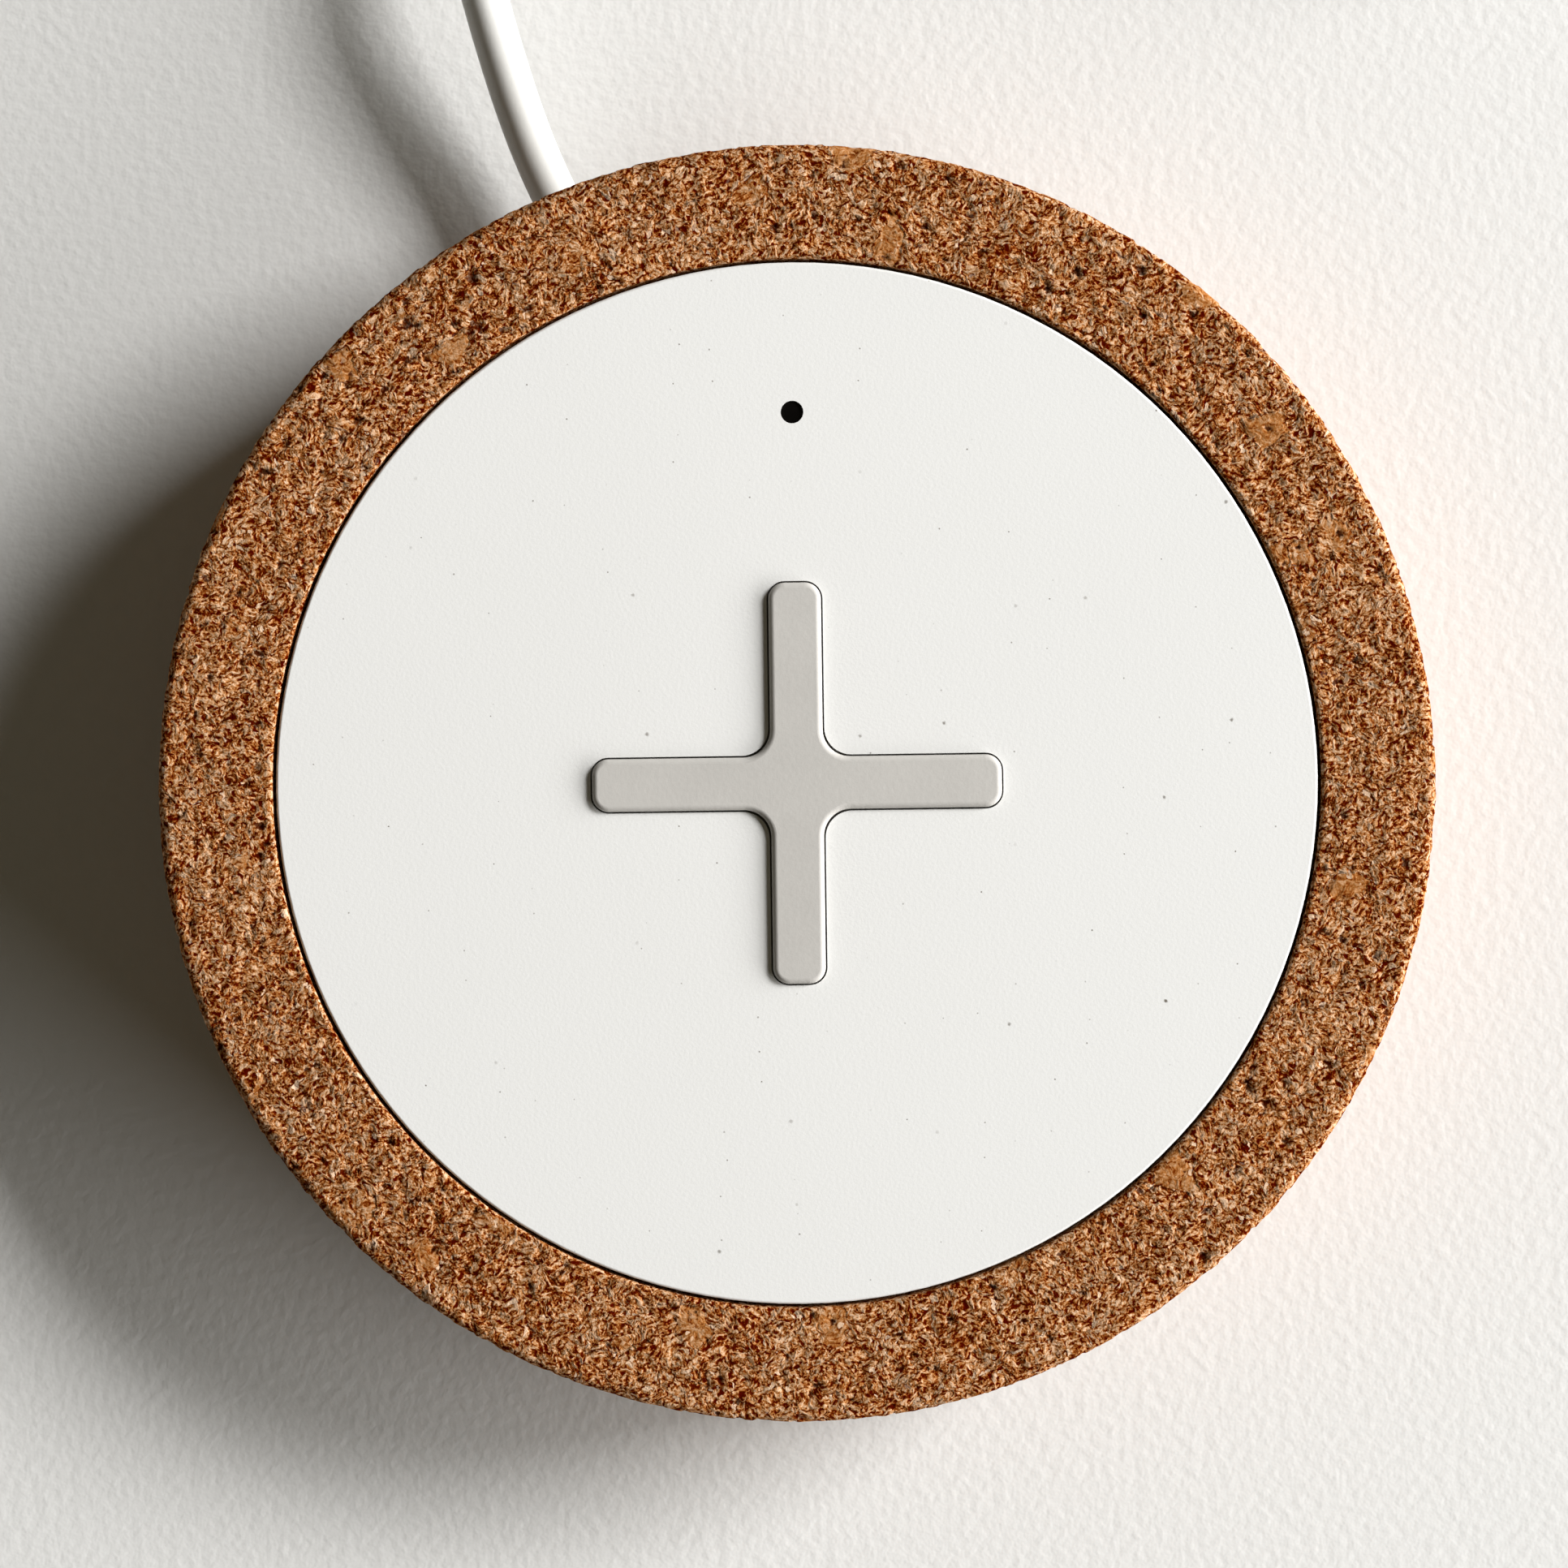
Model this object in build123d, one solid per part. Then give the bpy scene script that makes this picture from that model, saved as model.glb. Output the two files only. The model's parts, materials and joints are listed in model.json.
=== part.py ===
from build123d import *
from math import atan2, cos, degrees, pi, radians, sin, tan
import os

# Round desktop wireless charging pad with a cork ring, a white top disc, a rubber plus and a fixed USB lead.
# Millimetres. The origin is the centre of the underside, on the surface that the pad stands on.
# +Z is up and +Y points from the centre to the indicator light.

# ---- pad ----
PAD_RADIUS = 45.0
RIM_TOP = 15.65
RIM_INNER_RADIUS = 36.9
GROUND_GAP = 1.0  # height of the underside above the table
CORK_OUTER_EDGE = 0.7  # roundings of the turned cork edges
CORK_INNER_EDGE = 0.2
COVER_TOP = 15.55
COVER_RADIUS = 36.65
COVER_THICKNESS = 1.8
COVER_EDGE = 0.2
COVER_UNDERSIDE = COVER_TOP - COVER_THICKNESS

# ---- rubber plus, let into the top disc ----
PLUS_WIDTH = 28.8  # along X
PLUS_DEPTH = 28.2  # along Y
PLUS_ARM = 3.7
PLUS_END_RADIUS = 1.15
PLUS_INNER_RADIUS = 1.9
PLUS_HEIGHT = 0.5  # proud of the disc
PLUS_SUNK = 1.0
PLUS_GAP = 0.12
PLUS_EDGE = 0.4
PEG_RADIUS = 0.9
PEG_PLACES = ((9.0, 0.0), (-9.0, 0.0), (0.0, 9.0), (0.0, -9.0))

# ---- indicator light ----
LIGHT_RADIUS = 0.8
LIGHT_Y = 26.1
LIGHT_SUNK = 0.15
LIGHT_FLANGE_RADIUS = 1.5
LIGHT_FLANGE_DEPTH = 0.8
LED_SIZE = (1.6, 0.8, 0.6)
LED_AIR_GAP = 0.4

# ---- lower casing ----
BASE_FLANGE_RADIUS = 41.0
BASE_FLOOR = 1.8
BASE_WALL = 1.6
BASE_WALL_RADIUS = 36.45
BASE_WALL_TOP = 13.4
FIT_GAP = 0.2  # between shells that slide together
SKIRT_WALL = 1.6
SKIRT_DEPTH = 2.6
FLOOR_TOP = GROUND_GAP + BASE_FLOOR
UNDERSIDE_DISH_RADIUS = 22.0
UNDERSIDE_DISH = 0.4

# ---- feet and housing screws, on one circle ----
FOOT_CIRCLE = 30.7
FOOT_RADIUS = 5.0
FOOT_RECESS = 0.6
FOOT_EDGE = 0.3
SCREW_ANGLES = (45, 135, 225, 315)
COLUMN_RADIUS = 2.75
COLUMN_TOP = 9.0
SCREW_RADIUS = 1.1
SCREW_HEAD_RADIUS = 2.0
SCREW_HEAD_HEIGHT = 1.3
SCREW_LENGTH = 9.2
SCREW_CLEARANCE = 0.15
SCREW_SLOT = (2.4, 0.5, 0.7)

# ---- circuit board and what is soldered to it ----
BOARD_RADIUS = 27.3
BOARD_BOTTOM = 4.6
BOARD_THICKNESS = 1.6
BOARD_TOP = BOARD_BOTTOM + BOARD_THICKNESS
POST_CIRCLE = 22.0
POST_ANGLES = (20, 160, 245)
POST_RADIUS = 2.2
BOARD_SCREW_RADIUS = 0.9
BOARD_SCREW_HEAD_RADIUS = 1.7
BOARD_SCREW_HEAD_HEIGHT = 1.1
BOARD_SCREW_LENGTH = 3.2
BOARD_SCREW_SLOT = (2.0, 0.4, 0.6)
CHIP_SIZE = (5.0, 5.0, 0.9)
CHIP_PLACE = (-5.0, -7.0)
TRANSISTOR_SIZE = (3.3, 3.3, 1.0)
TRANSISTOR_PLACES = ((6.0, -4.0), (11.0, -4.0), (6.0, -9.0), (11.0, -9.0))
INDUCTOR_SIZE = (5.2, 5.2, 2.8)
INDUCTOR_PLACE = (-13.0, 4.0)
INDUCTOR_CORNER = 1.0
RESONANT_SIZE = (3.2, 1.6, 1.6)
RESONANT_PLACES = [(12.0, 2.0 + 2.6 * i) for i in range(4)]
FILTER_SIZE = (1.6, 0.8, 0.8)
FILTER_PLACES = [(-8.0 + 2.8 * i, 1.0) for i in range(4)] + [(-8.0 + 2.8 * i, -12.5) for i in range(4)]
RESISTOR_SIZE = (1.6, 0.8, 0.45)
RESISTOR_PLACES = [(-15.0, -12.0 + 2.0 * i) for i in range(6)] + [(4.0 + 2.8 * i, 14.0) for i in range(3)]

# ---- charging coil stack, hung under the top disc ----
ADHESIVE = 0.3
WIRE_RADIUS = 0.55
WIRE_PITCH = 1.15
WINDING_TURNS = 10
WINDING_INNER_RADIUS = 10.4
FERRITE_RADIUS = 24.3
FERRITE_THICKNESS = 1.2
TRAY_THICKNESS = 1.0
TRAY_RADIUS = 24.8
TRAY_LEG_RADIUS = 1.2
TRAY_LEG_CIRCLE = 22.8
TRAY_LEG_ANGLES = (70, 200, 320)
WINDING_OUTER_RADIUS = WINDING_INNER_RADIUS + WINDING_TURNS * WIRE_PITCH
LEAD_BEND = 1.1
LEAD_REACH = 1.5  # how far each lead runs along the slot before it turns down
LEAD_SLOT = 5.0  # width of the radial slot for the two coil leads, towards -Y
SLOT_START = 8.6
SENSOR_HOLE_RADIUS = 2.0
SENSOR_RADIUS = 0.55
SENSOR_COLLAR_RADIUS = 0.9
SENSOR_COLLAR = (-0.9, -0.3)  # its bottom and top, below the middle of the bead
SENSOR_LEG_RADIUS = 0.2
SENSOR_LEG_X = 0.35
WINDING_TOP = COVER_UNDERSIDE - ADHESIVE
WINDING_Z = WINDING_TOP - WIRE_RADIUS
FERRITE_TOP = WINDING_TOP - 2 * WIRE_RADIUS
TRAY_TOP = FERRITE_TOP - FERRITE_THICKNESS
TRAY_BOTTOM = TRAY_TOP - TRAY_THICKNESS

# ---- lead: straight out of the side of the pad, down to the table, into a tied coil, then the plug ----
CORD_DIAMETER = 3.4
CORD_RADIUS = CORD_DIAMETER / 2
CORD_LENGTH = 1900.0
EXIT_ANGLE = 111.6  # degrees from +X
EXIT_Z = 5.4
BUSH_RADIUS = 2.3
BUSH_OUTER_END = 44.7
BUSH_FLANGE_RADIUS = 4.0
BUSH_FLANGE = 1.4
CORD_INNER_END = 35.8  # distances from the centre along the exit direction
CORD_FIRST_BEND = 52.0
CORK_HOLE_RADIUS = 2.4
CORE_RADIUS = 0.55
CORE_SIDES = (-0.7, 0.7)  # the two cores, left and right of the exit direction
CORE_STEPS = (0.0, 1.5, 4.6, 7.0)  # distances inwards from the relief to each bend of a core
CORE_BEND = 2.5

COIL_CENTRE = (-6.7, 104.0)
COIL_MEAN_RADIUS = 18.66
COIL_COLUMNS = 4
COIL_LAYERS = 4
COIL_PITCH = 3.42
COIL_TURNS = 15.25  # the last quarter turn is the only one in the outermost place of the top layer
COIL_EDGE = 1.65
COIL_OUTER_TURN = COIL_MEAN_RADIUS + COIL_PITCH * (COIL_COLUMNS - 1) / 2
COIL_INNER_TURN = COIL_MEAN_RADIUS - COIL_PITCH * (COIL_COLUMNS - 1) / 2
COIL_TOP = CORD_DIAMETER + COIL_PITCH * (COIL_LAYERS - 1)
COIL_STUB = 13.5  # straight stretch at both ends of the coil, until the lead is clear of the other turns

TIE_WIDTH = 6.0
TIE_THICKNESS = 0.8
TIE_BITE = 0.5  # how far the tie pulls into the bundle
TIE_CORNER = 2.4
TIE_ANGLE = 315.0

# ---- USB-A plug, built along +X from the end of its boot ----
BOOT_LENGTH = 8.0
BOOT_THIN_RADIUS = 2.4
BOOT_THICK_RADIUS = 3.3
BOOT_GROOVE_RADIUS = 0.45
BOOT_GROOVE_LIFT = 0.15  # how far the middle of a groove's section is outside the taper
BOOT_GROOVES = (2.0, 4.0, 6.0)
GRIP_LENGTH = 20.0
GRIP_WIDTH = 15.6
GRIP_HEIGHT = 8.0
GRIP_EDGE = 1.8
GRIP_DISH = 0.35
GRIP_DISH_SIZE = (12.0, 9.0)
GRIP_DISH_CORNER = 2.0
GRIP_BACK_EDGE = 1.4
SHELL_LENGTH = 12.0
SHELL_WIDTH = 12.0
SHELL_HEIGHT = 4.5
SHELL_WALL = 0.3
SHELL_CORNER = 0.6
SHELL_WINDOW = 2.3
SHELL_WINDOW_Y = 2.6
SHELL_WINDOW_X = 6.0
TONGUE_LENGTH = 10.6
TONGUE_HEIGHT = 1.9
CONTACT_LENGTH = 8.2
CONTACT_WIDTH = 1.1
CONTACT_THICKNESS = 0.15
CONTACT_YS = (-3.5, -1.0, 1.0, 3.5)
PLUG_TURN = -62.83  # heading of the plug on the table, degrees from +X


def polar(radius, angle):
    return radius * cos(radians(angle)), radius * sin(radians(angle))


# Points of the lead's route from inside the pad to the coil, chosen by hand.
COIL_IN_X = COIL_CENTRE[0] - COIL_OUTER_TURN
CORD_ROUTE = [
    (*polar(CORD_INNER_END, EXIT_ANGLE), EXIT_Z),
    (*polar(CORD_FIRST_BEND, EXIT_ANGLE), EXIT_Z),
    (-24.4, 64.2, 6.6),
    (-27.5, 75.0, 3.1),
    (COIL_IN_X, 83.5, CORD_RADIUS),
    (COIL_IN_X, COIL_CENTRE[1] - COIL_STUB, CORD_RADIUS),
]

# From the top of the coil down to the plug.
COIL_OUT_Y = COIL_CENTRE[1] + COIL_OUTER_TURN
COIL_OUT_Z = COIL_TOP - CORD_RADIUS
TAIL_ROUTE = [
    (COIL_CENTRE[0] + COIL_STUB, COIL_OUT_Y, COIL_OUT_Z),
    (COIL_CENTRE[0] + 22.3, COIL_OUT_Y, COIL_OUT_Z),
    (COIL_CENTRE[0] + 31.2, COIL_OUT_Y - 3.4, 9.9),
    (COIL_CENTRE[0] + 38.2, COIL_OUT_Y - 9.8, 6.3),
    (COIL_CENTRE[0] + 43.4, COIL_OUT_Y - 17.7, GRIP_HEIGHT / 2),
    (COIL_CENTRE[0] + 47.3, COIL_OUT_Y - 25.3, GRIP_HEIGHT / 2),
]


def disc(radius, bottom, top, centre=(0, 0)):
    return Pos(centre[0], centre[1], (bottom + top) / 2) * Cylinder(radius, top - bottom)


def block(size, centre, bottom):
    return Pos(centre[0], centre[1], bottom + size[2] / 2) * Box(*size)


def radial_rod(radius, start, end):
    """A round bar along the lead's exit direction, from one distance from the centre to another."""
    middle = polar((start + end) / 2, EXIT_ANGLE)
    return Pos(*middle, EXIT_Z) * Rot(0, 0, EXIT_ANGLE) * Rot(0, 90, 0) * Cylinder(radius, end - start)


def plus_outline(gap):
    shape = Rectangle(PLUS_WIDTH + 2 * gap, PLUS_ARM + 2 * gap)
    shape += Rectangle(PLUS_ARM + 2 * gap, PLUS_DEPTH + 2 * gap)
    reach = PLUS_ARM / 2 + gap + 0.1
    inner = [v for v in shape.vertices() if abs(v.X) < reach and abs(v.Y) < reach]
    shape = fillet(inner, PLUS_INNER_RADIUS)
    ends = [v for v in shape.vertices() if max(abs(v.X), abs(v.Y)) > PLUS_DEPTH / 2 - 0.1]
    return fillet(ends, PLUS_END_RADIUS + gap)


# ---------------------------------------------------------------- casing


def cork_ring():
    """The ring is turned from one block, rebated underneath for the casing's flange."""
    outline = [
        (RIM_INNER_RADIUS, FLOOR_TOP),
        (RIM_INNER_RADIUS, RIM_TOP),
        (PAD_RADIUS, RIM_TOP),
        (PAD_RADIUS, GROUND_GAP),
        (BASE_FLANGE_RADIUS + FIT_GAP, GROUND_GAP),
        (BASE_FLANGE_RADIUS + FIT_GAP, FLOOR_TOP),
    ]
    section = make_face(Plane.XZ * Polyline(*outline, close=True))
    ring = revolve(section, Axis.Z)
    circles = ring.edges().filter_by(GeomType.CIRCLE)
    ring = fillet([e for e in circles if e.radius > PAD_RADIUS - 0.1], CORK_OUTER_EDGE)
    circles = ring.edges().filter_by(GeomType.CIRCLE)
    at_disc = [e for e in circles if e.radius < RIM_INNER_RADIUS + 0.1 and e.center().Z > RIM_TOP - 0.1]
    ring = fillet(at_disc, CORK_INNER_EDGE)
    return ring - radial_rod(CORK_HOLE_RADIUS, RIM_INNER_RADIUS - 2, PAD_RADIUS + 2)


def bottom_cover():
    """A tub: floor with a flange under the cork, a wall inside it, screw columns and board posts."""
    tub = disc(BASE_FLANGE_RADIUS, GROUND_GAP, FLOOR_TOP)
    tub += disc(BASE_WALL_RADIUS, FLOOR_TOP, BASE_WALL_TOP) - disc(
        BASE_WALL_RADIUS - BASE_WALL, FLOOR_TOP, BASE_WALL_TOP
    )
    for angle in SCREW_ANGLES:
        tub += disc(COLUMN_RADIUS, FLOOR_TOP, COLUMN_TOP, polar(FOOT_CIRCLE, angle))
    for angle in POST_ANGLES:
        tub += disc(POST_RADIUS, FLOOR_TOP, BOARD_BOTTOM, polar(POST_CIRCLE, angle))
    head_top = GROUND_GAP + FOOT_RECESS + SCREW_HEAD_HEIGHT
    for angle in SCREW_ANGLES:
        centre = polar(FOOT_CIRCLE, angle)
        tub -= disc(FOOT_RADIUS + SCREW_CLEARANCE, GROUND_GAP, GROUND_GAP + FOOT_RECESS, centre)
        tub -= disc(SCREW_HEAD_RADIUS + SCREW_CLEARANCE, GROUND_GAP, head_top, centre)
        tub -= disc(SCREW_RADIUS + SCREW_CLEARANCE, GROUND_GAP, COLUMN_TOP, centre)
    for angle in POST_ANGLES:
        tub -= disc(BOARD_SCREW_RADIUS, FLOOR_TOP, BOARD_BOTTOM, polar(POST_CIRCLE, angle))
    tub -= disc(UNDERSIDE_DISH_RADIUS, GROUND_GAP, GROUND_GAP + UNDERSIDE_DISH)
    # the slot in the wall that the lead's bush drops into
    slot_length = 3 * BASE_WALL
    slot_height = BASE_WALL_TOP - EXIT_Z
    middle = polar(BASE_WALL_RADIUS - BASE_WALL / 2, EXIT_ANGLE)
    slot = Box(slot_length, 2 * BUSH_RADIUS, slot_height)
    tub -= Pos(*middle, EXIT_Z + slot_height / 2) * Rot(0, 0, EXIT_ANGLE) * slot
    tub -= radial_rod(BUSH_RADIUS, BASE_WALL_RADIUS - 2 * BASE_WALL, BASE_WALL_RADIUS + BASE_WALL)
    return tub


def top_cover():
    """The white disc, its skirt inside the tub's wall, screw bosses, and pockets for plus and light."""
    cover = disc(COVER_RADIUS, COVER_UNDERSIDE, COVER_TOP)
    cover = fillet(cover.edges().group_by(Axis.Z)[-1], COVER_EDGE)
    skirt_outer = BASE_WALL_RADIUS - BASE_WALL - FIT_GAP
    skirt_bottom = COVER_UNDERSIDE - SKIRT_DEPTH
    cover += disc(skirt_outer, skirt_bottom, COVER_UNDERSIDE) - disc(
        skirt_outer - SKIRT_WALL, skirt_bottom, COVER_UNDERSIDE
    )
    pilot_top = GROUND_GAP + FOOT_RECESS + SCREW_HEAD_HEIGHT + SCREW_LENGTH
    for angle in SCREW_ANGLES:
        cover += disc(COLUMN_RADIUS, COLUMN_TOP, COVER_UNDERSIDE, polar(FOOT_CIRCLE, angle))
    for angle in SCREW_ANGLES:
        cover -= disc(SCREW_RADIUS, COLUMN_TOP, pilot_top, polar(FOOT_CIRCLE, angle))
    cover -= Pos(0, 0, COVER_TOP - PLUS_SUNK) * extrude(plus_outline(PLUS_GAP), PLUS_SUNK)
    for place in PEG_PLACES:
        cover -= disc(PEG_RADIUS, COVER_UNDERSIDE, COVER_TOP, place)
    cover -= disc(LIGHT_RADIUS, COVER_UNDERSIDE, COVER_TOP, (0, LIGHT_Y))
    return cover


def grip_cross():
    """Soft rubber plus with rounded top edges and four pegs through the disc."""
    sunk = COVER_TOP - PLUS_SUNK
    height = PLUS_SUNK + PLUS_HEIGHT
    plus = Pos(0, 0, sunk) * extrude(plus_outline(0), height)
    plus = fillet(plus.edges().group_by(Axis.Z)[-1], PLUS_EDGE)
    for place in PEG_PLACES:
        plus += disc(PEG_RADIUS, COVER_UNDERSIDE, sunk, place)
    return plus


def rubber_feet():
    foot = disc(FOOT_RADIUS, 0, GROUND_GAP + FOOT_RECESS)
    foot = fillet(foot.edges().group_by(Axis.Z)[0], FOOT_EDGE)
    return [Pos(*polar(FOOT_CIRCLE, angle), 0) * foot for angle in SCREW_ANGLES]


def housing_screws():
    """Pan heads with a cross slot, in the counterbores behind the feet."""
    head_bottom = GROUND_GAP + FOOT_RECESS
    shank_bottom = head_bottom + SCREW_HEAD_HEIGHT
    screw = disc(SCREW_HEAD_RADIUS, head_bottom, shank_bottom)
    screw += disc(SCREW_RADIUS, shank_bottom, shank_bottom + SCREW_LENGTH)
    for turn in (0, 90):
        screw -= Rot(0, 0, turn) * block(SCREW_SLOT, (0, 0), head_bottom)
    return [Pos(*polar(FOOT_CIRCLE, angle), 0) * screw for angle in SCREW_ANGLES]


# ---------------------------------------------------------------- indicator light


def light_pipe():
    """Clear rod from the light on the board to the small window in the disc."""
    bottom = BOARD_TOP + LED_SIZE[2] + LED_AIR_GAP
    centre = (0, LIGHT_Y)
    pipe = disc(LIGHT_RADIUS, bottom, COVER_TOP - LIGHT_SUNK, centre)
    return pipe + disc(LIGHT_FLANGE_RADIUS, COVER_UNDERSIDE - LIGHT_FLANGE_DEPTH, COVER_UNDERSIDE, centre)


def status_led():
    return block(LED_SIZE, (0, LIGHT_Y), BOARD_TOP)


# ---------------------------------------------------------------- circuit board


def circuit_board():
    board = disc(BOARD_RADIUS, BOARD_BOTTOM, BOARD_TOP)
    for angle in POST_ANGLES:
        board -= disc(BOARD_SCREW_RADIUS, BOARD_BOTTOM, BOARD_TOP, polar(POST_CIRCLE, angle))
    return board


def board_screws():
    head_top = BOARD_TOP + BOARD_SCREW_HEAD_HEIGHT
    screw = disc(BOARD_SCREW_HEAD_RADIUS, BOARD_TOP, head_top)
    screw += disc(BOARD_SCREW_RADIUS, BOARD_TOP - BOARD_SCREW_LENGTH, BOARD_TOP)
    for turn in (0, 90):
        screw -= Rot(0, 0, turn) * block(BOARD_SCREW_SLOT, (0, 0), head_top - BOARD_SCREW_SLOT[2])
    return [Pos(*polar(POST_CIRCLE, angle), 0) * screw for angle in POST_ANGLES]


def soldered(size, places):
    return [block(size, place, BOARD_TOP) for place in places]


def power_inductor():
    body = block(INDUCTOR_SIZE, INDUCTOR_PLACE, BOARD_TOP)
    return fillet(body.edges().filter_by(Axis.Z), INDUCTOR_CORNER)


# ---------------------------------------------------------------- charging coil


def slotted(radius, bottom, top):
    """A disc with the centre hole and the radial slot that coil leads and sensor pass through."""
    plate = disc(radius, bottom, top) - disc(SENSOR_HOLE_RADIUS, bottom, top)
    slot = Box(LEAD_SLOT, radius, top - bottom)
    return plate - Pos(0, -SLOT_START - radius / 2, (bottom + top) / 2) * slot


def coil_winding():
    """Flat spiral of half circles: right halves about the centre, left halves half a pitch towards -Y."""
    halves = []
    for turn in range(WINDING_TURNS):
        radius = WINDING_INNER_RADIUS + turn * WIRE_PITCH
        wide = radius + WIRE_PITCH / 2
        start, far = (0, -radius, WINDING_Z), (0, radius, WINDING_Z)
        halves.append(ThreePointArc(start, (radius, 0, WINDING_Z), far))
        left = (-wide, -WIRE_PITCH / 2, WINDING_Z)
        halves.append(ThreePointArc(far, left, (0, -radius - WIRE_PITCH, WINDING_Z)))
    path = Wire(halves)
    return sweep(Plane(origin=path @ 0, z_dir=path % 0) * Circle(WIRE_RADIUS), path=path)


def coil_leads():
    """From both ends of the winding, down through the slot to the board."""
    leads = []
    for radius, reach in ((WINDING_INNER_RADIUS, -LEAD_REACH), (WINDING_OUTER_RADIUS, LEAD_REACH)):
        route = [(0, -radius, WINDING_Z), (reach, -radius, WINDING_Z), (reach, -radius, BOARD_TOP)]
        path = FilletPolyline(*route, radius=LEAD_BEND)
        leads.append(sweep(Plane(origin=path @ 0, z_dir=path % 0) * Circle(WIRE_RADIUS), path=path))
    return leads


def ferrite_plate():
    return slotted(FERRITE_RADIUS, TRAY_TOP, FERRITE_TOP)


def coil_tray():
    """Carrier plate on three legs that stand on the board."""
    tray = slotted(TRAY_RADIUS, TRAY_BOTTOM, TRAY_TOP)
    for angle in TRAY_LEG_ANGLES:
        tray += disc(TRAY_LEG_RADIUS, BOARD_TOP, TRAY_BOTTOM, polar(TRAY_LEG_CIRCLE, angle))
    return tray


def coil_adhesive():
    ring = disc(WINDING_OUTER_RADIUS, WINDING_TOP, COVER_UNDERSIDE)
    return ring - disc(WINDING_INNER_RADIUS, WINDING_TOP, COVER_UNDERSIDE)


def thermistor():
    """Bead in the middle of the winding on two stiff legs from the board."""
    collar_bottom, collar_top = (WINDING_Z + z for z in SENSOR_COLLAR)
    sensor = Pos(0, 0, WINDING_Z) * Sphere(SENSOR_RADIUS)
    sensor += disc(SENSOR_COLLAR_RADIUS, collar_bottom, collar_top)
    for x in (-SENSOR_LEG_X, SENSOR_LEG_X):
        sensor += disc(SENSOR_LEG_RADIUS, BOARD_TOP, collar_top, (x, 0))
    return sensor


# ---------------------------------------------------------------- lead


def route_radii(route):
    """For each corner, 0.45 of the shorter run, divided by the tangent of half the turn."""
    points = [Vector(*p) for p in route]
    radii = []
    for before, corner, after in zip(points, points[1:], points[2:]):
        turn = radians((corner - before).get_angle(after - corner))
        shorter = min((corner - before).length, (after - corner).length)
        radii.append(0.45 * shorter / tan(turn / 2))
    return radii


def tube(name, route):
    radii = route_radii(route)
    path = FilletPolyline(*route, radius=radii)
    solid = sweep(Plane(origin=path @ 0, z_dir=path % 0) * Circle(CORD_RADIUS), path=path)
    ideal = pi * CORD_RADIUS**2 * path.length
    print(name, "length", round(path.length, 1), "radii", [round(r, 1) for r in radii])
    print(name, "volume", round(solid.volume, 1), "section times length", round(ideal, 1))
    return solid, path.length


def cord_bush():
    """Relief moulded round the lead: a sleeve through the cork and a flange inside the casing's wall."""
    inner = BASE_WALL_RADIUS - BASE_WALL
    bush = radial_rod(BUSH_RADIUS, inner - BUSH_FLANGE, BUSH_OUTER_END)
    flange = radial_rod(BUSH_FLANGE_RADIUS, inner - BUSH_FLANGE, inner)
    # the flange stays inside the round wall and stands on the casing's floor
    bush += flange & disc(inner - 0.1, FLOOR_TOP, RIM_TOP)
    return bush - radial_rod(CORD_RADIUS, CORD_INNER_END, PAD_RADIUS)


def supply_wires():
    """Two insulated cores, from the inner end of the lead up to the edge of the board."""
    start = BASE_WALL_RADIUS - BASE_WALL - BUSH_FLANGE
    on_board = BOARD_TOP + CORE_RADIUS
    heights = (EXIT_Z, EXIT_Z, on_board, on_board)
    wires = []
    for side in CORE_SIDES:
        across = Vector(*polar(side, EXIT_ANGLE + 90))
        route = [Vector(*polar(start - step, EXIT_ANGLE), z) + across for step, z in zip(CORE_STEPS, heights)]
        path = FilletPolyline(*route, radius=CORE_BEND)
        wires.append(sweep(Plane(origin=path @ 0, z_dir=path % 0) * Circle(CORE_RADIUS), path=path))
    return wires


def tie_frame():
    """Where the tie crosses the bundle: local X runs outwards from the coil's centre, Z up."""
    return Pos(*COIL_CENTRE, 0) * Rot(0, 0, TIE_ANGLE)


def tie_prism(inner, outer, bottom, top, corner):
    size = (outer - inner, TIE_WIDTH, top - bottom)
    prism = Pos((inner + outer) / 2, 0, (bottom + top) / 2) * Box(*size)
    return tie_frame() * fillet(prism.edges().filter_by(Axis.Y), corner)


def tie_window():
    return tie_prism(
        COIL_INNER_TURN - CORD_RADIUS + TIE_BITE,
        COIL_OUTER_TURN + CORD_RADIUS - TIE_BITE,
        TIE_THICKNESS,
        COIL_TOP - TIE_BITE,
        TIE_CORNER - TIE_THICKNESS,
    )


def cord_coil():
    """Outer shape of the wound length, with a short stub at each end, and pinched where the tie is."""
    width = COIL_OUTER_TURN - COIL_INNER_TURN + CORD_DIAMETER
    ring = disc(COIL_MEAN_RADIUS + width / 2, 0, COIL_TOP) - disc(COIL_MEAN_RADIUS - width / 2, 0, COIL_TOP)
    ring = Pos(*COIL_CENTRE, 0) * fillet(ring.edges().filter_by(GeomType.CIRCLE), COIL_EDGE)
    stub = Cylinder(CORD_RADIUS, COIL_STUB)
    ring += Pos(COIL_IN_X, COIL_CENTRE[1] - COIL_STUB / 2, CORD_RADIUS) * Rot(90, 0, 0) * stub
    ring += Pos(COIL_CENTRE[0] + COIL_STUB / 2, COIL_OUT_Y, COIL_OUT_Z) * Rot(0, 90, 0) * stub
    under_tie = tie_frame() * Pos(COIL_MEAN_RADIUS, 0, COIL_TOP / 2) * Box(2 * width, TIE_WIDTH, 2 * COIL_TOP)
    return ring - (under_tie - tie_window())


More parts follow.
